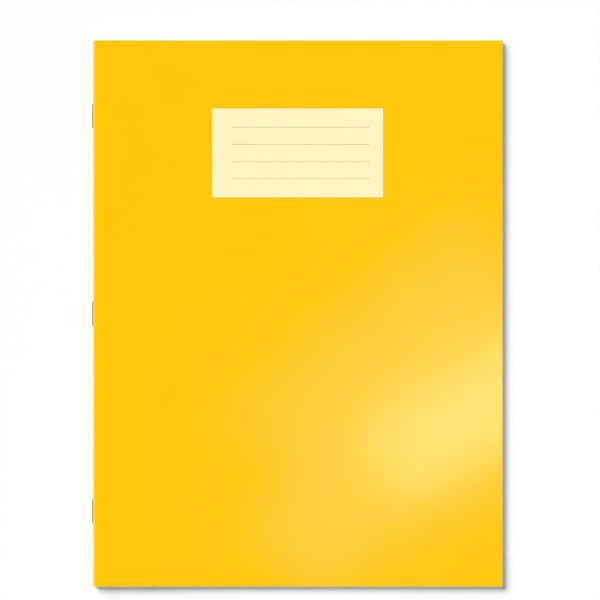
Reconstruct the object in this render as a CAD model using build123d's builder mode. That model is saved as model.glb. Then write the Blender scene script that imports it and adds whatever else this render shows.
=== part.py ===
"""A stapled exercise book: card cover, pasted name label, folded sheets, wire staples.

The book lies on its back cover. +X points to the fore-edge, +Y to the head and +Z up
through the front cover. The origin is the middle of the underside.
"""

import os

from build123d import *

# Driving dimensions, in millimetres

# Trimmed book, from the outside of the spine to the fore-edge and from tail to head
book_width = 240.0
book_height = 320.0

# Paper and card
sheet_count = 12
paper_thickness = 0.10
card_thickness = 0.28
sheet_gap = 0.02

# Wire staples: length is between the middles of the two legs, and inset is from
# the head or tail to the middle of the nearest staple
wire_diameter = 0.5
bend_inside_radius = 0.05
staple_length = 14.0
staple_tip_gap = 3.0
staple_inset = 44.0

# Room around the wire: in the centre fold, in its pierced holes, under the crown
# outside the spine, and between a leg and the hinge line of the leaves
fold_clearance = 0.10
pierce_clearance = 0.05
crown_gap = 0.02
hinge_clearance = 0.25

# Name label, centred across the front cover
label_width = 100.0
label_height = 52.0
label_thickness = 0.08
label_drop = 40.0

# Worked out from the dimensions above

wire_radius = wire_diameter / 2
wire_bend_radius = wire_radius + bend_inside_radius
clinch_length = (staple_length - staple_tip_gap) / 2
hole_radius = wire_radius + pierce_clearance
crown_reach = wire_diameter + crown_gap

# All folds are half rounds about one line, the fold line
sheet_pitch = paper_thickness + sheet_gap
centre_fold_radius = wire_radius + fold_clearance
cover_inside_radius = centre_fold_radius + sheet_count * sheet_pitch
spine_radius = cover_inside_radius + card_thickness
book_thickness = 2 * spine_radius

spine_x = crown_reach - (book_width + crown_reach) / 2
fore_edge_x = spine_x + book_width
fold_x = spine_x + spine_radius
fold_z = spine_radius
hinge_x = fold_x + wire_radius + hinge_clearance
crown_x = spine_x - crown_gap - wire_radius

staple_reach = book_height / 2 - staple_inset
staple_middles = {"head": staple_reach, "middle": 0.0, "tail": -staple_reach}
leg_reach = staple_length / 2
leg_places = [(y + side * leg_reach, fold_z) for y in staple_middles.values() for side in (-1, 1)]

label_x = (spine_x + fore_edge_x) / 2
label_y = book_height / 2 - label_drop - label_height / 2


def save(piece, name):
    """Name a finished piece and write it to its own file."""
    piece.label = name
    export_step(piece, f"parts/{name}.step")


def flat_panel(name, low_z, thickness):
    """A leaf or cover panel, flat from the hinge line to the fore-edge."""
    with BuildPart() as panel:
        with BuildSketch(Plane.XY.offset(low_z)):
            with Locations(((hinge_x + fore_edge_x) / 2, 0)):
                Rectangle(fore_edge_x - hinge_x, book_height)
        extrude(amount=thickness)
    save(panel.part, name)


def pierced_fold(name, inside_radius, thickness):
    """A half-round fold with a short flat run each side, pierced by the staple legs."""
    outside_radius = inside_radius + thickness
    with BuildPart() as fold:
        with BuildSketch(Plane.XZ.offset(-book_height / 2)):
            with BuildLine():
                for radius in (inside_radius, outside_radius):
                    Line((hinge_x, fold_z + radius), (fold_x, fold_z + radius))
                    CenterArc((fold_x, fold_z), radius, 90, 180)
                    Line((fold_x, fold_z - radius), (hinge_x, fold_z - radius))
                for side in (1, -1):
                    inner_end = (hinge_x, fold_z + side * inside_radius)
                    outer_end = (hinge_x, fold_z + side * outside_radius)
                    Line(inner_end, outer_end)
            make_face()
        extrude(amount=book_height)
        with BuildSketch(Plane.YZ.offset(spine_x)):
            with Locations(*leg_places):
                Circle(hole_radius)
        extrude(amount=spine_radius, mode=Mode.SUBTRACT)
    save(fold.part, name)


def folded_piece(front_name, fold_name, back_name, inside_radius, thickness):
    """One folded sheet or the cover: its front panel, its fold and its back panel."""
    flat_panel(front_name, fold_z + inside_radius, thickness)
    pierced_fold(fold_name, inside_radius, thickness)
    flat_panel(back_name, fold_z - inside_radius - thickness, thickness)


def staple(name, middle_y):
    """One bent wire: crown outside the spine, legs through it, tips folded in."""
    high_leg_y = middle_y + leg_reach
    low_leg_y = middle_y - leg_reach
    with BuildPart() as wire:
        with BuildLine(Plane.XY.offset(fold_z)) as route:
            FilletPolyline(
                (fold_x, high_leg_y - clinch_length),
                (fold_x, high_leg_y),
                (crown_x, high_leg_y),
                (crown_x, low_leg_y),
                (fold_x, low_leg_y),
                (fold_x, low_leg_y + clinch_length),
                radius=wire_bend_radius,
            )
        with BuildSketch(Plane(origin=route.line @ 0, z_dir=route.line % 0)):
            Circle(wire_radius)
        sweep()
    save(wire.part, name)


os.makedirs("parts", exist_ok=True)

# Card cover
folded_piece("front_cover", "cover_spine", "back_cover", cover_inside_radius, card_thickness)

# Name label, pasted on the front cover
with BuildPart() as name_label:
    with BuildSketch(Plane.XY.offset(book_thickness)):
        with Locations((label_x, label_y)):
            Rectangle(label_width, label_height)
    extrude(amount=label_thickness)
save(name_label.part, "name_label")

# Folded sheets, from the outermost to the centre spread
for number in range(1, sheet_count + 1):
    sheet = f"sheet_{number:02d}"
    sheet_inside_radius = centre_fold_radius + (sheet_count - number) * sheet_pitch
    folded_piece(
        f"{sheet}_front_leaf",
        f"{sheet}_fold",
        f"{sheet}_back_leaf",
        sheet_inside_radius,
        paper_thickness,
    )

# Wire staples
for place, middle_y in staple_middles.items():
    staple(f"staple_{place}", middle_y)

print("book thickness", round(book_thickness, 3))
print("fold line x and z", round(fold_x, 3), round(fold_z, 3))
print("hinge line x", round(hinge_x, 3), "fore-edge x", round(fore_edge_x, 3))
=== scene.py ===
# %% [markdown]
# # A stapled exercise book
#
# This lesson dresses a large school exercise book: a glossy yellow card cover folded
# round twelve ruled sheets, three wire staples through the fold, and a pale name label.
# The construction is already done. It comes in as a fixed frame of named pieces, each
# on the body that it moves with, and everything below is placed from that frame.

# %% Load the frame
import math

import bpy
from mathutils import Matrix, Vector


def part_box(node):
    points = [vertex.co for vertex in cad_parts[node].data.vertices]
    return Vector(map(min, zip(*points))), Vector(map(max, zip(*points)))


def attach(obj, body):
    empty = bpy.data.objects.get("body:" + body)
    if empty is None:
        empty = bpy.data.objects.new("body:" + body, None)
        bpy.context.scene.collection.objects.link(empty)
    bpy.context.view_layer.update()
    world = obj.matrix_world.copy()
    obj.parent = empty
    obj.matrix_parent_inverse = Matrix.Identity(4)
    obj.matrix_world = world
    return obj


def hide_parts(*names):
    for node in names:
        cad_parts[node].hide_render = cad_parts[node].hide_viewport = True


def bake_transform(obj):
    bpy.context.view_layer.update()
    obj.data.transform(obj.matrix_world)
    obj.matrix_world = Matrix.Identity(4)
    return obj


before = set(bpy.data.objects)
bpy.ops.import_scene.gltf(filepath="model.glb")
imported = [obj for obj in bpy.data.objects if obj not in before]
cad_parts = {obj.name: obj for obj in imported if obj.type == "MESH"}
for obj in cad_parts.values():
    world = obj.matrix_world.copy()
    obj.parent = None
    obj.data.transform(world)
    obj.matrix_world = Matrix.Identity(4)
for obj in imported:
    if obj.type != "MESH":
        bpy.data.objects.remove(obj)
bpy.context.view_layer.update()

scene = bpy.context.scene
scene.view_settings.view_transform = "Standard"

# %% [markdown]
# ## Sizes of the book
#
# The frame is in metres, but paper and wire are easier to think about in millimetres.
# The book's own sizes are read from the frame's boxes, not typed in again, so the looks
# follow the construction. The book lies on its back cover: +X runs from the spine to the
# fore-edge, +Y from the tail to the head and +Z up through the front cover. All folds
# are half rounds about one line, the fold line, half way up the spine.

# %% Read the sizes
MM = 0.001


def box_mm(node):
    """Lowest and highest corner of a piece of the frame, in millimetres."""
    low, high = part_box(node)
    return [c / MM for c in low], [c / MM for c in high]


spine_low, spine_high = box_mm("cover_spine")
panel_low, panel_high = box_mm("front_cover")
book_thickness = spine_high[2]
half_height = panel_high[1]
card_thickness = panel_high[2] - panel_low[2]
fold_z = book_thickness / 2
fold_x = spine_low[0] + fold_z
hinge_x = panel_low[0]
fore_edge_x = panel_high[0]
leaf_width = fore_edge_x - fold_x
sheet_count = len([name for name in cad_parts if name.endswith("_fold")])
print("thickness", round(book_thickness, 2), "card", round(card_thickness, 2), "sheets", sheet_count)
print("fold line x", round(fold_x, 2), "hinge x", round(hinge_x, 2), "fore-edge x", round(fore_edge_x, 2))

# %% [markdown]
# ## The camera
#
# The book is seen squarely from above, so the camera looks straight down. A long lens
# far away keeps the sides of the book from showing, as on a copy stand. The distance
# follows from the lens and from the width that the picture takes in at the cover.

# %% Set up the camera
picture_width = 351.2
aim_x = 1.6
aim_y = 7.9
lens_length = 100.0
sensor_width = 36.0
camera_reach = picture_width * lens_length / sensor_width

camera_data = bpy.data.cameras.new("copy_stand_camera")
camera_data.lens = lens_length
camera_data.sensor_width = sensor_width
camera = bpy.data.objects.new("copy_stand_camera", camera_data)
camera.location = Vector((aim_x, aim_y, book_thickness + camera_reach)) * MM
scene.collection.objects.link(camera)
scene.camera = camera
print("camera height above the cover", round(camera_reach), "mm")

# %% [markdown]
# ## The light
#
# Three things light the book. A broad key light from the upper left gives most of the
# light and the narrow shadow along the fore-edge and tail. Being polarised, as copy
# lights often are, it leaves no glare of its own. Three small ceiling panels hang beside
# the camera, and their blurred warm reflection is the glare low on the right of the cover.
# The room itself is pale at the horizon and dim overhead, where the cover looks, so the
# yellow stays deep. Together they light a flat sheet at a plain level of about one.
#
# The room's glow is a small tree of nodes, as the finishes are later on. One function
# adds a node with its options and its links, so that a tree reads from top to bottom.

# %% The room
overhead_glow = 0.04
horizon_glow = 0.86
horizon_falloff = 1.5


def add(tree, kind, settings=(), sockets=()):
    """Add one node, set its options, and set or link its input sockets."""
    node = tree.nodes.new(kind)
    for option, value in dict(settings).items():
        setattr(node, option, value)
    for socket, value in dict(sockets).items():
        if isinstance(value, bpy.types.NodeSocket):
            tree.links.new(value, node.inputs[socket])
        else:
            node.inputs[socket].default_value = value
    return node


room = bpy.data.worlds.new("pale_room")
room.use_nodes = True
room.node_tree.nodes.clear()
scene.world = room
tree = room.node_tree
direction = add(tree, "ShaderNodeTexCoord").outputs["Generated"]
height = add(tree, "ShaderNodeSeparateXYZ", sockets={0: direction}).outputs["Z"]
below_top = add(tree, "ShaderNodeMath", {"operation": "SUBTRACT", "use_clamp": True}, {0: 1.0, 1: height})
band = add(tree, "ShaderNodeMath", {"operation": "POWER"}, {0: below_top.outputs[0], 1: horizon_falloff})
glow = add(
    tree,
    "ShaderNodeMath",
    {"operation": "MULTIPLY_ADD"},
    {0: band.outputs[0], 1: horizon_glow, 2: overhead_glow},
)
backdrop = add(tree, "ShaderNodeBackground", sockets={"Color": glow.outputs[0]})
add(tree, "ShaderNodeOutputWorld", sockets={"Surface": backdrop.outputs[0]})
print("room: horizon", overhead_glow + horizon_glow, "overhead", overhead_glow)

# %% The key light
key_height_deg = 37.0
key_width_deg = 37.0
key_level = 0.742

key_rise = math.sin(math.radians(key_height_deg))
key_run = math.cos(math.radians(key_height_deg)) / math.sqrt(2)
key_data = bpy.data.lights.new("polarised_key_light", "SUN")
key_data.energy = key_level * math.pi / key_rise
key_data.angle = math.radians(key_width_deg)
key_light = bpy.data.objects.new("polarised_key_light", key_data)
key_light.rotation_mode = "QUATERNION"
key_light.rotation_quaternion = Vector((-key_run, key_run, key_rise)).to_track_quat("Z", "Y")
key_light.visible_glossy = False
scene.collection.objects.link(key_light)
print("key light energy", round(key_data.energy, 2))

# %% [markdown]
# Colours are written as sRGB hex values, as a colour picker shows them, and one function
# turns them to the linear values that lamps and shaders work in.


# %% Colours
def linear(hex_code):
    """An sRGB hex value as a linear colour with full cover."""
    channels = [int(hex_code[i : i + 2], 16) / 255 for i in (1, 3, 5)]
    return [c / 12.92 if c <= 0.04045 else ((c + 0.055) / 1.055) ** 2.4 for c in channels] + [1.0]


print("middle grey #808080 in linear light", round(linear("#808080")[0], 3))

# %% The ceiling panels
panel_height = 1000.0
panel_white = "#FFFDE9"


def ceiling_panel(name, x, y, length, width, turn_deg, brightness):
    """A small flat lamp that faces down. Its power follows from its area and brightness."""
    data = bpy.data.lights.new(name, "AREA")
    data.shape = "RECTANGLE"
    data.size = length * MM
    data.size_y = width * MM
    data.energy = brightness * math.pi * data.size * data.size_y
    data.color = linear(panel_white)[:3]
    panel = bpy.data.objects.new(name, data)
    panel.location = Vector((x, y, book_thickness + panel_height)) * MM
    panel.rotation_euler.z = math.radians(turn_deg)
    panel.visible_camera = False
    scene.collection.objects.link(panel)
    print(name, round(data.energy, 3), "W")


ceiling_panel("right_panel", x=222, y=-121, length=280, width=102, turn_deg=29.5, brightness=6.1)
ceiling_panel("lower_panel", x=119, y=-161, length=387, width=115, turn_deg=48.6, brightness=1.58)
ceiling_panel("upper_panel", x=111, y=-68, length=356, width=155, turn_deg=40.9, brightness=1.13)

# %% [markdown]
# ## Finishes
#
# Each finish below starts from what the real surface is and how it was made. Patterns
# are drawn in millimetres on each sheet's own flat layout, which bends with the sheet,
# so that a fleck or a ruled line stays in its place on the paper when the book opens.
# Two short functions start a finish and end it in its shader.
#
# ### White sweep paper
#
# The floor is a wide roll of matt white paper. It takes the shadow and nothing else, so
# a diffuse surface with faint clouds of tone is enough.

# %% White sweep paper
sweep_cloud = 400.0


def blank_finish(name):
    """A new material and its node tree, still empty."""
    material = bpy.data.materials.new(name)
    material.use_nodes = True
    material.node_tree.nodes.clear()
    return material, material.node_tree


def close_finish(tree, sockets):
    """End a finish in one surface shader."""
    shader = add(tree, "ShaderNodeBsdfPrincipled", sockets=sockets)
    add(tree, "ShaderNodeOutputMaterial", sockets={"Surface": shader.outputs[0]})


sweep_paper, tree = blank_finish("matt_white_sweep_paper")
place = add(tree, "ShaderNodeTexCoord").outputs["Object"]
clouds = add(tree, "ShaderNodeTexNoise", sockets={"Vector": place, "Scale": 1 / (sweep_cloud * MM)})
tone = add(
    tree,
    "ShaderNodeMix",
    {"data_type": "RGBA"},
    {"Factor": clouds.outputs[0], "A": linear("#F7F8FB"), "B": linear("#F9FAFD")},
)
close_finish(tree, {"Base Color": tone.outputs["Result"], "Roughness": 1.0, "Specular IOR Level": 0.0})
print("floor finish", sweep_paper.name, "with clouds of", sweep_cloud, "mm")

# %% The floor
floor_half_width = 6000.0
floor_drop = 0.02

floor_reach = floor_half_width * MM
quarters = ((-1, -1), (1, -1), (1, 1), (-1, 1))
corners = [(x * floor_reach, y * floor_reach, -floor_drop * MM) for x, y in quarters]
floor_mesh = bpy.data.meshes.new("sweep_floor")
floor_mesh.from_pydata(corners, [], [(0, 1, 2, 3)])
floor_mesh.materials.append(sweep_paper)
floor = bpy.data.objects.new("sweep_floor", floor_mesh)
scene.collection.objects.link(floor)
print("floor", 2 * floor_reach, "m across")

# %% [markdown]
# ### Gloss-varnished card, the outside of the cover
#
# The cover is white board, printed all over in one warm yellow and sealed with a gloss
# varnish. To the eye it is an even, deep colour under a clear skin. Close to, the ink
# film is slightly cloudy, the varnish has a faint orange peel that breaks the edge of
# a reflection, and the white board shows where the edges and the fold have been rubbed.
# Round the spine the yellow is painted darker, as painted shade that holds back the
# key light's brightening of that rounded shoulder. Varnish is a plain dielectric, so it
# is the shader's own specular layer with an IOR of 1.5 and a low roughness, and needs no
# second coat.

# %% Gloss-varnished card: its layout
card_reach = fold_z * math.pi / 2 + leaf_width

varnished_card, tree = blank_finish("gloss_varnished_yellow_card")
layout = add(tree, "ShaderNodeUVMap", {"uv_map": "card_mm"}).outputs["UV"]
across_along = add(tree, "ShaderNodeSeparateXYZ", sockets={0: layout})
across = add(tree, "ShaderNodeMath", {"operation": "ABSOLUTE"}, {0: across_along.outputs["X"]}).outputs[0]
along = add(tree, "ShaderNodeMath", {"operation": "ABSOLUTE"}, {0: across_along.outputs["Y"]}).outputs[0]
print("varnished card, reach from fold to fore-edge", round(card_reach, 1), "mm")

# %% [markdown]
# The ink film has soft clouds, and a finer mottle from the fibres under it. Towards the
# middle of the spine the ink is painted darker, as painted shade on the rounded shoulder
# that the key light from the left would otherwise make brighter. Fibres are really a few
# hundredths of a millimetre wide. They are drawn coarser, so that they show.

# %% Gloss-varnished card: the ink
ink_cloud = 35.0
fibre_size = 1.1
fibre_mottle = 0.04
painted_shade_width = 4.0
painted_shade_strength = 0.8

clouds = add(
    tree,
    "ShaderNodeTexNoise",
    {"noise_dimensions": "2D"},
    {"Vector": layout, "Scale": 1 / ink_cloud},
)
fibres = add(
    tree,
    "ShaderNodeTexNoise",
    {"noise_dimensions": "2D"},
    {"Vector": layout, "Scale": 1 / fibre_size, "Detail": 3.0},
)
ink = add(
    tree,
    "ShaderNodeMix",
    {"data_type": "RGBA"},
    {"Factor": clouds.outputs[0], "A": linear("#FEC504"), "B": linear("#FFC907")},
)
mottled_ink = add(
    tree,
    "ShaderNodeMix",
    {"data_type": "RGBA", "blend_type": "MULTIPLY"},
    {"Factor": fibre_mottle, "A": ink.outputs["Result"], "B": fibres.outputs[0]},
)
# Painted shade: the yellow darkens towards the middle of the spine, to hold back the brightening that the
# key light gives the rounded shoulder
painted_shade = add(
    tree,
    "ShaderNodeMapRange",
    sockets={"Value": across, "From Max": painted_shade_width, "To Min": painted_shade_strength, "To Max": 0.0},
)
ink_with_painted_shade = add(
    tree,
    "ShaderNodeMix",
    {"data_type": "RGBA"},
    {"Factor": painted_shade.outputs[0], "A": mottled_ink.outputs["Result"], "B": linear("#DFA502")},
)
print("ink clouds", ink_cloud, "mm, fibres", fibre_size, "mm, score", painted_shade_width, "mm")

# %% [markdown]
# A book that has been handled is rubbed along its trimmed edges and on the fold. The rub
# is a narrow band by the distance to the nearest of these, broken up into small flecks.

# %% Gloss-varnished card: rubbed edges
rub_width = 0.4
rub_strength = 0.36
rub_fleck = 0.5
fleck_level = 0.5
full_fleck_level = 0.66

from_fore_edge = add(tree, "ShaderNodeMath", {"operation": "SUBTRACT"}, {0: card_reach, 1: across})
from_head = add(tree, "ShaderNodeMath", {"operation": "SUBTRACT"}, {0: half_height, 1: along})
from_trim = add(
    tree,
    "ShaderNodeMath",
    {"operation": "MINIMUM"},
    {0: from_fore_edge.outputs[0], 1: from_head.outputs[0]},
)
from_rub = add(tree, "ShaderNodeMath", {"operation": "MINIMUM"}, {0: from_trim.outputs[0], 1: across})
nearness = add(
    tree,
    "ShaderNodeMapRange",
    sockets={"Value": from_rub.outputs[0], "From Max": rub_width, "To Min": rub_strength, "To Max": 0.0},
)
flecks = add(
    tree,
    "ShaderNodeTexNoise",
    {"noise_dimensions": "2D"},
    {"Vector": layout, "Scale": 1 / rub_fleck, "Detail": 4.0, "Roughness": 0.7},
)
rubbed = add(
    tree,
    "ShaderNodeMapRange",
    sockets={
        "Value": flecks.outputs[0],
        "From Min": full_fleck_level,
        "From Max": fleck_level,
        "To Min": nearness.outputs[0],
        "To Max": 0.0,
    },
)
worn_ink = add(
    tree,
    "ShaderNodeMix",
    {"data_type": "RGBA"},
    {"Factor": rubbed.outputs[0], "A": ink_with_painted_shade.outputs["Result"], "B": linear("#FBEFC4")},
)
print("rub", rub_width, "mm wide in flecks of", rub_fleck, "mm")

# %% [markdown]
# The varnish skin has a faint orange peel, which is a very shallow bump, and a gloss that
# varies a little with the clouds of ink. The clouds are a noise, which hardly leaves the
# middle of its range, so that stretch is spread over the gloss. Rubbed places are duller.

# %% Gloss-varnished card: the varnish
peel_size = 2.4
peel_depth = 0.0012
low_cloud, high_cloud = 0.2, 0.8
sharpest_gloss, softest_gloss = 0.128, 0.146
rub_dulling = 0.4

peel = add(
    tree,
    "ShaderNodeTexNoise",
    {"noise_dimensions": "2D"},
    {"Vector": layout, "Scale": 1 / peel_size},
)
skin = add(
    tree,
    "ShaderNodeBump",
    sockets={"Height": peel.outputs[0], "Distance": peel_depth * MM, "Strength": 1.0},
)
gloss = add(
    tree,
    "ShaderNodeMapRange",
    sockets={
        "Value": clouds.outputs[0],
        "From Min": low_cloud,
        "From Max": high_cloud,
        "To Min": sharpest_gloss,
        "To Max": softest_gloss,
    },
)
worn_gloss = add(
    tree,
    "ShaderNodeMath",
    {"operation": "MULTIPLY_ADD"},
    {0: rubbed.outputs[0], 1: rub_dulling, 2: gloss.outputs[0]},
)
close_finish(
    tree,
    {
        "Base Color": worn_ink.outputs["Result"],
        "Roughness": worn_gloss.outputs[0],
        "IOR": 1.5,
        "Normal": skin.outputs[0],
    },
)
print("varnish roughness", sharpest_gloss, "to", softest_gloss)

# %% [markdown]
# ### Uncoated board, the inside of the cover, and its cut edge
#
# The inside is the bare board: off-white, matt and a little felted, with stray darker
# fibres, drawn coarser than they are so that they show. The cut edge shows the same
# pulp, compressed by the knife. One function makes both, since only the tone and the
# size of the fibres differ.


# %% Uncoated board
def bare_board(name, light_tone, dark_tone, fibre_length, fibre_width, fibre_depth):
    """Matt board whose fibres are stretched noise on the card's layout."""
    material, tree = blank_finish(name)
    layout = add(tree, "ShaderNodeUVMap", {"uv_map": "card_mm"}).outputs["UV"]
    stretch = add(
        tree,
        "ShaderNodeMapping",
        sockets={"Vector": layout, "Scale": (1 / fibre_width, 1 / fibre_length, 1.0)},
    )
    felt = add(
        tree,
        "ShaderNodeTexNoise",
        {"noise_dimensions": "2D"},
        {"Vector": stretch.outputs[0], "Scale": 1.0, "Detail": 5.0, "Roughness": 0.6},
    )
    tone = add(
        tree,
        "ShaderNodeMix",
        {"data_type": "RGBA"},
        {"Factor": felt.outputs[0], "A": linear(dark_tone), "B": linear(light_tone)},
    )
    nap = add(
        tree,
        "ShaderNodeBump",
        sockets={"Height": felt.outputs[0], "Distance": fibre_depth * MM, "Strength": 1.0},
    )
    rough = add(
        tree,
        "ShaderNodeMapRange",
        sockets={"Value": felt.outputs[0], "To Min": 0.7, "To Max": 0.85},
    )
    close_finish(
        tree,
        {
            "Base Color": tone.outputs["Result"],
            "Roughness": rough.outputs[0],
            "IOR": 1.5,
            "Specular IOR Level": 0.35,
            "Normal": nap.outputs[0],
        },
    )
    return material


inside_board = bare_board(
    "uncoated_white_board",
    light_tone="#F8F5EA",
    dark_tone="#EAE6D8",
    fibre_length=4.0,
    fibre_width=1.2,
    fibre_depth=0.006,
)
cut_board = bare_board(
    "knife_cut_board_edge",
    light_tone="#F3ECD6",
    dark_tone="#D9CFB2",
    fibre_length=3.0,
    fibre_width=0.8,
    fibre_depth=0.01,
)
print("board finishes", inside_board.name, cut_board.name)

# %% [markdown]
# ### Ruled writing paper
#
# The sheets are uncoated white wood-free paper, printed with pale blue feint lines and
# one red margin line. A picture of the ruling would do, but the lines are drawn by the
# material instead, from the distance to the left edge and to the head of each page as
# it is read. They stay sharp at any distance, and one finish serves all pages, left-hand
# and right-hand. The margin line of the page behind shows through very faintly.

# %% Ruled writing paper: the ruling
feint_pitch = 8.0
feint_width = 0.28
feint_count = 35
first_feint = 32.0
margin_from_left = 30.0
margin_width = 0.32
show_through = 0.1

ruled_paper, tree = blank_finish("uncoated_ruled_writing_paper")
page = add(tree, "ShaderNodeUVMap", {"uv_map": "page_mm"}).outputs["UV"]
left_head = add(tree, "ShaderNodeSeparateXYZ", sockets={0: page})
from_left, from_head = left_head.outputs["X"], left_head.outputs["Y"]

# Feint lines repeat at an even pitch from the first to the last, above a plain tail margin
half_ruling = (feint_count - 1) * feint_pitch / 2
below_first = add(tree, "ShaderNodeMath", {"operation": "SUBTRACT"}, {0: from_head, 1: first_feint})
to_feint = add(
    tree,
    "ShaderNodeMath",
    {"operation": "PINGPONG"},
    {0: below_first.outputs[0], 1: feint_pitch / 2},
)
on_feint = add(
    tree,
    "ShaderNodeMath",
    {"operation": "LESS_THAN"},
    {0: to_feint.outputs[0], 1: feint_width / 2},
)
in_ruling = add(
    tree,
    "ShaderNodeMath",
    {"operation": "COMPARE"},
    {0: below_first.outputs[0], 1: half_ruling, 2: half_ruling + feint_width},
)
feint = add(
    tree,
    "ShaderNodeMath",
    {"operation": "MULTIPLY"},
    {0: on_feint.outputs[0], 1: in_ruling.outputs[0]},
)

# The margin line of this page, and the one on its other side
margin = add(
    tree,
    "ShaderNodeMath",
    {"operation": "COMPARE"},
    {0: from_left, 1: margin_from_left, 2: margin_width / 2},
)
margin_behind = add(
    tree,
    "ShaderNodeMath",
    {"operation": "COMPARE"},
    {0: from_left, 1: leaf_width - margin_from_left, 2: margin_width / 2},
)
ghost = add(
    tree,
    "ShaderNodeMath",
    {"operation": "MULTIPLY"},
    {0: margin_behind.outputs[0], 1: show_through},
)
print("ruling:", feint_count, "lines every", feint_pitch, "mm, margin at", margin_from_left, "mm")

# %% [markdown]
# The paper itself has a cloudy look-through, where the pulp lay thicker, and a fine felt
# of fibres, drawn coarser than it is so that it shows. Both are different on each sheet.

# %% Ruled writing paper: the paper
fibre_cloud = 1.4
look_through = 9.0
paper_mottle = 0.05
paper_nap = 0.004
seed_range = 50.0

sheet_seed = add(tree, "ShaderNodeObjectInfo").outputs["Random"]
seed = add(tree, "ShaderNodeMath", {"operation": "MULTIPLY"}, {0: sheet_seed, 1: seed_range})
felt = add(
    tree,
    "ShaderNodeTexNoise",
    {"noise_dimensions": "4D"},
    {"Vector": page, "W": seed.outputs[0], "Scale": 1 / fibre_cloud, "Detail": 4.0},
)
formation = add(
    tree,
    "ShaderNodeTexNoise",
    {"noise_dimensions": "4D"},
    {"Vector": page, "W": seed.outputs[0], "Scale": 1 / look_through, "Detail": 2.0},
)
pulp = add(
    tree,
    "ShaderNodeMix",
    {"data_type": "RGBA"},
    {"Factor": formation.outputs[0], "A": linear("#EFEDE3"), "B": linear("#F6F4EC")},
)
fibrous = add(
    tree,
    "ShaderNodeMix",
    {"data_type": "RGBA", "blend_type": "MULTIPLY"},
    {"Factor": paper_mottle, "A": pulp.outputs["Result"], "B": felt.outputs[0]},
)
with_feint = add(
    tree,
    "ShaderNodeMix",
    {"data_type": "RGBA"},
    {"Factor": feint.outputs[0], "A": fibrous.outputs["Result"], "B": linear("#A9C3DE")},
)
with_ghost = add(
    tree,
    "ShaderNodeMix",
    {"data_type": "RGBA"},
    {"Factor": ghost.outputs[0], "A": with_feint.outputs["Result"], "B": linear("#E59A9A")},
)
with_margin = add(
    tree,
    "ShaderNodeMix",
    {"data_type": "RGBA"},
    {"Factor": margin.outputs[0], "A": with_ghost.outputs["Result"], "B": linear("#E07C7C")},
)
nap = add(
    tree,
    "ShaderNodeBump",
    sockets={"Height": felt.outputs[0], "Distance": paper_nap * MM, "Strength": 1.0},
)
rough = add(
    tree,
    "ShaderNodeMapRange",
    sockets={"Value": felt.outputs[0], "To Min": 0.78, "To Max": 0.92},
)
close_finish(
    tree,
    {
        "Base Color": with_margin.outputs["Result"],
        "Roughness": rough.outputs[0],
        "IOR": 1.5,
        "Specular IOR Level": 0.3,
        "Normal": nap.outputs[0],
    },
)
print("paper with clouds of", look_through, "mm")

# %% [markdown]
# ### Cream label paper
#
# The label is a cream paper with a light size, so it is smoother than the pages but has
# no varnish. Four thin tan lines to write on are printed across it, with a wider margin
# above them and at the left, and nothing else. They are drawn in the same way as the
# ruling of the pages.

# %% Cream label paper: its lines
label_low, label_high = box_mm("name_label")
label_width = label_high[0] - label_low[0]
label_height = label_high[1] - label_low[1]
label_thickness = label_high[2] - label_low[2]
line_count = 4
line_pitch = 10.0
first_line = 11.0
line_width = 0.5
line_start = 11.0
end_margin = 7.8
line_end = label_width - end_margin

label_paper, tree = blank_finish("sized_cream_label_paper")
page = add(tree, "ShaderNodeUVMap", {"uv_map": "label_mm"}).outputs["UV"]
left_head = add(tree, "ShaderNodeSeparateXYZ", sockets={0: page})
from_left, from_head = left_head.outputs["X"], left_head.outputs["Y"]
half_ruling = (line_count - 1) * line_pitch / 2
below_first = add(tree, "ShaderNodeMath", {"operation": "SUBTRACT"}, {0: from_head, 1: first_line})
to_line = add(
    tree,
    "ShaderNodeMath",
    {"operation": "PINGPONG"},
    {0: below_first.outputs[0], 1: line_pitch / 2},
)
on_line = add(
    tree,
    "ShaderNodeMath",
    {"operation": "LESS_THAN"},
    {0: to_line.outputs[0], 1: line_width / 2},
)
down = add(
    tree,
    "ShaderNodeMath",
    {"operation": "COMPARE"},
    {0: below_first.outputs[0], 1: half_ruling, 2: half_ruling + line_width},
)
across = add(
    tree,
    "ShaderNodeMath",
    {"operation": "COMPARE"},
    {0: from_left, 1: (line_start + line_end) / 2, 2: (line_end - line_start) / 2},
)
in_panel = add(
    tree,
    "ShaderNodeMath",
    {"operation": "MULTIPLY"},
    {0: down.outputs[0], 1: across.outputs[0]},
)
ruled = add(
    tree,
    "ShaderNodeMath",
    {"operation": "MULTIPLY"},
    {0: on_line.outputs[0], 1: in_panel.outputs[0]},
)
print("label", round(label_width), "by", round(label_height), "mm with", line_count, "lines")

# %% Cream label paper: the paper
label_nap = 0.003

felt = add(
    tree,
    "ShaderNodeTexNoise",
    {"noise_dimensions": "2D"},
    {"Vector": page, "Scale": 1 / fibre_cloud, "Detail": 4.0},
)
pulp = add(
    tree,
    "ShaderNodeMix",
    {"data_type": "RGBA"},
    {"Factor": felt.outputs[0], "A": linear("#F7EFBC"), "B": linear("#FBF4C6")},
)
printed = add(
    tree,
    "ShaderNodeMix",
    {"data_type": "RGBA"},
    {"Factor": ruled.outputs[0], "A": pulp.outputs["Result"], "B": linear("#DDD0A0")},
)
nap = add(
    tree,
    "ShaderNodeBump",
    sockets={"Height": felt.outputs[0], "Distance": label_nap * MM, "Strength": 1.0},
)
rough = add(
    tree,
    "ShaderNodeMapRange",
    sockets={"Value": felt.outputs[0], "To Min": 0.45, "To Max": 0.58},
)
close_finish(
    tree,
    {
        "Base Color": printed.outputs["Result"],
        "Roughness": rough.outputs[0],
        "IOR": 1.5,
        "Normal": nap.outputs[0],
    },
)
print("label finish", label_paper.name)

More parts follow.
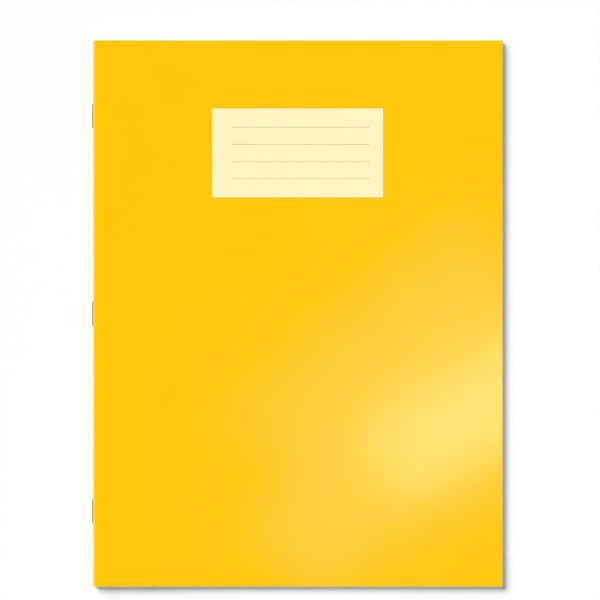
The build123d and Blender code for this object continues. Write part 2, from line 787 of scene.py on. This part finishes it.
# %% [markdown]
# ### Drawn steel wire
#
# The staples are cut from galvanised steel wire that was drawn through a die, which
# leaves fine scratches along it. Steel keeps the metal shader's default IOR, and the
# scratches are a noise that is long in one direction and fine in the other. They are
# drawn wider than they are, so that they show.

# %% Drawn steel wire
scratch_length = 3.0
scratch_width = 0.12

steel_wire, tree = blank_finish("drawn_galvanised_steel_wire")
place = add(tree, "ShaderNodeTexCoord").outputs["Object"]
stretch = add(
    tree,
    "ShaderNodeMapping",
    sockets={
        "Vector": place,
        "Scale": (1 / (scratch_width * MM), 1 / (scratch_length * MM), 1 / (scratch_width * MM)),
    },
)
scratches = add(
    tree,
    "ShaderNodeTexNoise",
    sockets={"Vector": stretch.outputs[0], "Scale": 1.0, "Detail": 2.0},
)
zinc = add(
    tree,
    "ShaderNodeMix",
    {"data_type": "RGBA"},
    {"Factor": scratches.outputs[0], "A": linear("#82827F"), "B": linear("#B0AFAB")},
)
rough = add(
    tree,
    "ShaderNodeMapRange",
    sockets={"Value": scratches.outputs[0], "To Min": 0.28, "To Max": 0.45},
)
close_finish(tree, {"Base Color": zinc.outputs["Result"], "Metallic": 1.0, "Roughness": rough.outputs[0]})
print("wire finish", steel_wire.name)

# %% [markdown]
# ## Folding a sheet
#
# The cover and every leaf are the same thing at another thickness: a flat sheet, bent
# half round the fold line and pierced on the fold by the staple legs. So one function
# says where a point of a sheet lies, from its distance to the middle of the fold, and
# one function turns two grids of such points, the two faces, into a closed thin solid.
# A plain extruded slab would be quicker, but it could not bend when the book opens.


# %% Where a sheet lies
def on_fold(distance, radius, side):
    """Point and outward direction in the X-Z plane, on the front side (1) or the back (-1)."""
    turn = distance / radius
    if turn < math.pi / 2:
        out_x, out_z = -math.cos(turn), side * math.sin(turn)
        return fold_x + radius * out_x, fold_z + radius * out_z, out_x, out_z
    return fold_x + distance - radius * math.pi / 2, fold_z + side * radius, 0.0, float(side)


print("spine outside at", [round(v, 2) for v in on_fold(0.0, fold_z, 1)[:2]])

# %% [markdown]
# A staple hole isn't cut out of a finished sheet. The two halves of a sheet meet in the
# middle of the fold, and each keeps clear of the legs by moving its first rows of points
# back from there, so that two half-round notches make the hole.

# %% Where the staples pierce a sheet
staples = ("staple_head", "staple_middle", "staple_tail")
wire_low, wire_high = box_mm("staple_middle")
wire_radius = (wire_high[2] - wire_low[2]) / 2
pierce_room = 0.05
hole_rim = 0.03
pierced_radius = wire_radius + pierce_room
leg_places = []
for staple in staples:
    low, high = box_mm(staple)
    leg_places += [low[1] + wire_radius, high[1] - wire_radius]


def to_leg(y):
    """How far this height is from the middle of the nearest staple leg."""
    return min(abs(y - leg) for leg in leg_places)


def past_hole(distance, y, reach):
    """A distance from the middle of the fold, moved clear of a staple hole at this height."""
    hole = reach * math.sqrt(max(0.0, 1 - (to_leg(y) / pierced_radius) ** 2))
    return distance + hole * max(0.0, 1 - distance / (reach + hole_rim))


print("staple legs at", [round(y, 1) for y in sorted(leg_places)])

# %% [markdown]
# The closed book isn't quite flat. The wire keeps the leaves apart in the fold, but
# away from it the front half settles down onto the back half, and paper always has a
# little wave. Left perfectly flat, the stack would look like a block with a slit. Both
# reliefs are shared by all the leaves, so none cuts its neighbour.

# %% How the closed book settles
centre_gap = 2 * (box_mm(f"sheet_{sheet_count:02d}_front_leaf")[0][2] - fold_z)
settled_share = 0.88
settled_drop = settled_share * centre_gap
settling_run = 75.0
wave_height = 0.12
wave_run = 60.0
level_run = 4.0
swell_x, swell_y = 41.0, 97.0
cross_x, cross_y = 88.0, 53.0
cross_shift = 1.3


def smooth(value):
    """From 0 to 1 with level ends."""
    value = min(1.0, max(0.0, value))
    return value * value * (3 - 2 * value)


def wave(x, y):
    """The little wave in the stack of leaves, which starts level at the fold."""
    swell = math.sin(x / swell_x + y / swell_y) + math.sin(y / cross_y - x / cross_x + cross_shift)
    return wave_height * (1 + swell / 2) / 2 * smooth((x - hinge_x - level_run) / wave_run)


def settle(x):
    """How far the front half has come down at this distance from the spine."""
    return settled_drop * smooth((x - hinge_x - level_run) / settling_run)


print("centre gap", round(centre_gap, 2), "front half settles by", round(settled_drop, 2), "mm")

# %% [markdown]
# A modifier could give a sheet its thickness, but then the two faces and the rim would
# share one layout, and the print would run on over the cut edge. So the faces and the
# rim are joined here, each with its own finish.

# %% Close two faces into a thin solid
sheet_crease_deg = 25.0


def grid_border(rows, columns):
    """The numbers of the points round a grid, in order."""
    border = list(range(columns))
    border += [i * columns + columns - 1 for i in range(1, rows)]
    border += [(rows - 1) * columns + j for j in range(columns - 2, -1, -1)]
    border += [i * columns for i in range(rows - 2, 0, -1)]
    return border


def thin_solid(name, outside, inside, layout_name, finishes, rim_place=None):
    """A closed sheet between two faces, with finishes for the outside, the inside and the rim.

    A face is a grid of points and a grid of layout places, both in millimetres.
    """
    rows, columns = len(outside[0]), len(outside[0][0])
    count = rows * columns
    points = [[c * MM for c in p] for face in (outside, inside) for row in face[0] for p in row]
    places = [p for face in (outside, inside) for row in face[1] for p in row]
    firsts = [i * columns + j for i in range(rows - 1) for j in range(columns - 1)]
    quads = [(a, a + 1, a + columns + 1, a + columns) for a in firsts]
    border = grid_border(rows, columns)
    faces = quads + [tuple(count + v for v in reversed(quad)) for quad in quads]
    faces += [(b, a, count + a, count + b) for a, b in zip(border, border[1:] + border[:1])]
    parts = [0] * len(quads) + [1] * len(quads) + [2] * len(border)

    mesh = bpy.data.meshes.new(name)
    mesh.from_pydata(points, [], faces)
    order = list(dict.fromkeys(finishes))
    for finish in order:
        mesh.materials.append(finish)
    layout = mesh.uv_layers.new(name=layout_name)
    for face, part in zip(mesh.polygons, parts):
        face.material_index = order.index(finishes[part])
        for corner in face.loop_indices:
            place = places[mesh.loops[corner].vertex_index]
            layout.data[corner].uv = rim_place if part == 2 and rim_place else place
    mesh.shade_smooth()
    mesh.set_sharp_from_angle(angle=math.radians(sheet_crease_deg))
    piece = bpy.data.objects.new(name, mesh)
    scene.collection.objects.link(piece)
    return piece


print("a grid of 3 by 3 points has", len(grid_border(3, 3)), "points on its border")

# %% [markdown]
# Rows of points run from the fold to the fore-edge. They lie close together where the
# sheet curves or will bend, and far apart where it stays flat. Columns run from tail to
# head and crowd round the staple holes, so that the holes come out round.

# %% Rows and columns
trim_width = 0.08
hole_clearing = 2.0
hole_steps = 6
cover_spacing = 8.0
leaf_spacing = 16.0


def spread(start, end, steps):
    """Evenly spaced values, both ends included."""
    return [start + (end - start) * i / steps for i in range(steps + 1)]


def columns_for(spacing):
    """Heights from tail to head, with a round set across each staple hole."""
    even = spread(-half_height, half_height, steps=round(2 * half_height / spacing))
    free = [y for y in even if to_leg(y) > hole_clearing]
    hole = [math.sin(a) * pierced_radius for a in spread(-math.pi / 2, math.pi / 2, steps=hole_steps)]
    trim = [half_height - trim_width, trim_width - half_height]
    return sorted(free + trim + [leg + h for leg in leg_places for h in hole])


cover_columns = columns_for(cover_spacing)
leaf_columns = columns_for(leaf_spacing)
print("columns", len(leaf_columns), "on a leaf,", len(cover_columns), "on the cover")

# %% [markdown]
# ## The cover
#
# The cover is one piece of card on the real book. It bends in two places: round the
# spine as the whole book opens, and along a crease beside the spine as the front cover
# alone is turned back. So it is made as five meshes that meet edge to edge: the back
# with its part of the spine, two narrow strips at the fold, the front part of the spine,
# and the front panel. They share one layout, measured from the middle of the spine, so
# the print runs on across the joins. The strips ride with the staples, which hold them
# fast. Near the fold the ends of the card are drawn in by a hair, so that the card that
# lies double inside a fully opened spine doesn't show at the head and tail.

# %% Cover points
card_middle_radius = fold_z - card_thickness / 2
quarter_turn = card_middle_radius * math.pi / 2
card_end = quarter_turn + leaf_width
trim_ease = 0.05
fold_nip = 0.04


def cover_face(distances, columns, side, face, relief):
    """Grid of points and grid of layout places for one face of the card."""
    points, places = [], []
    for distance in distances:
        row, row_places = [], []
        end = half_height - fold_nip * smooth(1 - distance / quarter_turn)
        for y in columns:
            start = past_hole(distance, y, pierced_radius)
            x, z, out_x, out_z = on_fold(start, card_middle_radius, side)
            z += relief(x, y) if relief else 0
            trimmed = abs(y) > half_height - trim_width / 2 or distance == card_end
            offset = face * (card_thickness / 2 - (trim_ease if trimmed else 0))
            row.append((x + offset * out_x, min(end, max(-end, y)), z + offset * out_z))
            across = start + min(start, quarter_turn) * (fold_z / card_middle_radius - 1)
            row_places.append((side * across, y))
        points.append(row)
        places.append(row_places)
    return points, places


def cover_piece(name, distances, side, relief=None):
    """One stretch of the card cover, from its first to its last distance from the fold."""
    columns = cover_columns if side > 0 else cover_columns[::-1]
    outside = cover_face(distances, columns, side, 1, relief)
    inside = cover_face(distances, columns, side, -1, relief)
    piece = thin_solid(name, outside, inside, "card_mm", [varnished_card, inside_board, cut_board])
    print(name, len(piece.data.polygons), "faces")
    return piece


print("card", round(card_end, 1), "mm from the middle of the fold to the fore-edge")

# %% [markdown]
# The front panel settles with the leaves and springs up a little towards the fore-edge,
# more at the corners than between them.

# %% Relief of the front panel
cover_spring = 0.1
spring_start = 20.0
spring_run = 100.0
middle_spring = 0.6


def cover_lift(x, y):
    """How far the front panel lies above its flat place."""
    corner = middle_spring + (1 - middle_spring) * (y / half_height) ** 2
    return wave(x, y) - settle(x) + cover_spring * corner * smooth((x - spring_start) / spring_run)


print("fore-edge corner", round(cover_lift(fore_edge_x, half_height), 2), "mm from flat")

# %% [markdown]
# Now the stretches of card are made. The strips turn by half the opening, with the
# staples. The front panel has close rows over a short run beside its crease, where it bends.

# %% Make the cover
hinge_run = quarter_turn + hinge_x - fold_x
crease_run = 2.6
strip_reach = 1.25
spine_rows = spread(strip_reach, quarter_turn, steps=18) + [hinge_run]
panel_rows = spread(hinge_run, hinge_run + crease_run, steps=16)
panel_rows += spread(hinge_run + crease_run, card_end - trim_width, steps=30)[1:] + [card_end]

cover_back = cover_piece("cover_back_and_spine", spine_rows + panel_rows[1:], -1)
spine_front = cover_piece("cover_spine_front_half", spine_rows, 1)
cover_front = cover_piece("cover_front", panel_rows, 1, cover_lift)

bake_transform(cover_back)
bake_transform(spine_front)
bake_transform(cover_front)
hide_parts("back_cover")
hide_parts("cover_spine")
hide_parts("front_cover")

# %% Make the strips that the staples hold
hole_end = pierced_radius + hole_rim
strip_rows = spread(0, hole_end, steps=4) + spread(hole_end, strip_reach, steps=8)[1:]
for half, side in (("front", 1), ("back", -1)):
    strip = cover_piece(f"cover_fold_strip_{half}", strip_rows, side)
    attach(strip, "spine")

# %% [markdown]
# ## The name label
#
# The label is pasted flat, so it takes the relief of the card under it. A grid of points
# follows the cover, one face on the card and the other a paper's thickness above it. The
# rim takes its layout from a place beside the lines, so that no line runs over it.

# %% Make the label
off_the_lines = (-20.0, -20.0)

label_heights = spread(label_low[1], label_high[1], steps=14)
label_bottom, label_top, label_places = [], [], []
for x in spread(label_low[0], label_high[0], steps=24):
    card_top = [(y, book_thickness + cover_lift(x, y)) for y in label_heights]
    label_bottom.append([(x, y, z) for y, z in card_top])
    label_top.append([(x, y, z + label_thickness) for y, z in card_top])
    label_places.append([(x - label_low[0], label_high[1] - y) for y in label_heights])

name_label = thin_solid(
    "name_label_ruled",
    (label_top, label_places),
    (label_bottom, label_places),
    "label_mm",
    [label_paper] * 3,
    off_the_lines,
)
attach(name_label, "front_cover")
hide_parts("name_label")
print(name_label.name, len(name_label.data.polygons), "faces")

# %% [markdown]
# ## The ruled sheets
#
# Each sheet is made as two halves that meet in the middle of its fold. As a real book
# opens, the middle of each fold turns by half the angle, with the staples, and each half
# rolls from there to its own leaf over a few millimetres, which gives the nested gutter
# of a stapled book. Inner sheets roll over a longer stretch than outer ones, so that
# they lie over each other. Here each half has close rows over that stretch. Their staple
# holes are longer across the fold than along it, because a leg goes straight through a
# tight bend and the paper shifts round it a little. The trimmed fore-edges differ by a
# few hundredths.


# %% Leaf points
def leaf_face(rows, columns, radius, thickness, hole_reach, side, face):
    """Grid of points and grid of layout places for one face of half a sheet."""
    points, places = [], []
    offset = face * thickness / 2
    for distance in rows:
        row, row_places = [], []
        for y in columns:
            start = past_hole(distance, y, hole_reach)
            x, z, out_x, out_z = on_fold(start, radius, side)
            z += wave(x, y) - (settle(x) if side > 0 else 0)
            row.append((x + offset * out_x, y, z + offset * out_z))
            from_fold = x - fold_x + radius
            from_left = from_fold if face == side else leaf_width - from_fold
            row_places.append((from_left, half_height - y))
        points.append(row)
        places.append(row_places)
    return points, places


print("pages", round(leaf_width, 1), "by", round(2 * half_height), "mm, read from their left edge and head")

# %% Half a sheet
outer_roll = 3.0
roll_step = 0.4
hole_pull = 1.25
fore_edge_scatter = 0.06
scatter_turn = 2.4


def leaf_half(number, side):
    """Half of a folded sheet, the middle of its fold, and how far it rolls from there."""
    name = f"sheet_{number:02d}"
    low, high = box_mm(f"{name}_front_leaf")
    thickness = high[2] - low[2]
    radius = (low[2] + high[2]) / 2 - fold_z
    inside_radius = low[2] - fold_z
    quarter = radius * math.pi / 2
    roll_run = outer_roll + roll_step * (number - 1)
    scatter = fore_edge_scatter * math.sin(scatter_turn * number + side)
    end = quarter + leaf_width - fore_edge_scatter + scatter
    hole_reach = hole_pull * radius * math.asin(pierced_radius / inside_radius)
    hole_end = hole_reach + hole_rim
    rows = spread(0, hole_end, steps=3) + spread(hole_end, quarter, steps=6)[1:]
    rows += spread(quarter, quarter + roll_run, steps=12)[1:]
    rows += spread(quarter + roll_run, end, steps=12)[1:]
    columns = leaf_columns if side > 0 else leaf_columns[::-1]
    outside = leaf_face(rows, columns, radius, thickness, hole_reach, side, 1)
    inside = leaf_face(rows, columns, radius, thickness, hole_reach, side, -1)
    half = "front" if side > 0 else "back"
    finishes = [ruled_paper] * 3
    piece = thin_solid(f"{name}_{half}_half", outside, inside, "page_mm", finishes, off_the_lines)
    return piece, fold_x - radius, radius + roll_run


inner_roll = outer_roll + roll_step * (sheet_count - 1)
print("sheets roll over", outer_roll, "mm outside to", round(inner_roll, 1), "mm in the middle of the book")

# %% Make the sheets
for number in range(1, sheet_count + 1):
    name = f"sheet_{number:02d}"
    for side in (1, -1):
        piece, middle_x, reach = leaf_half(number, side)
        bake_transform(piece)
        if side > 0:
            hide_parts(f"{name}_front_leaf", f"{name}_fold")
        else:
            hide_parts(f"{name}_back_leaf")
print("sheets", sheet_count, "with", len(piece.data.polygons), "faces on each half")

# %% [markdown]
# ## The staples
#
# The wire staples are right as they were built, so they keep their shape and only take
# on the steel finish.

# %% Finish the staples
wire_crease_deg = 40.0

for staple in staples:
    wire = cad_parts[staple]
    wire.data.materials.clear()
    wire.data.materials.append(steel_wire)
    wire.data.shade_smooth()
    wire.data.set_sharp_from_angle(angle=math.radians(wire_crease_deg))
    print(staple, len(wire.data.polygons), "faces")
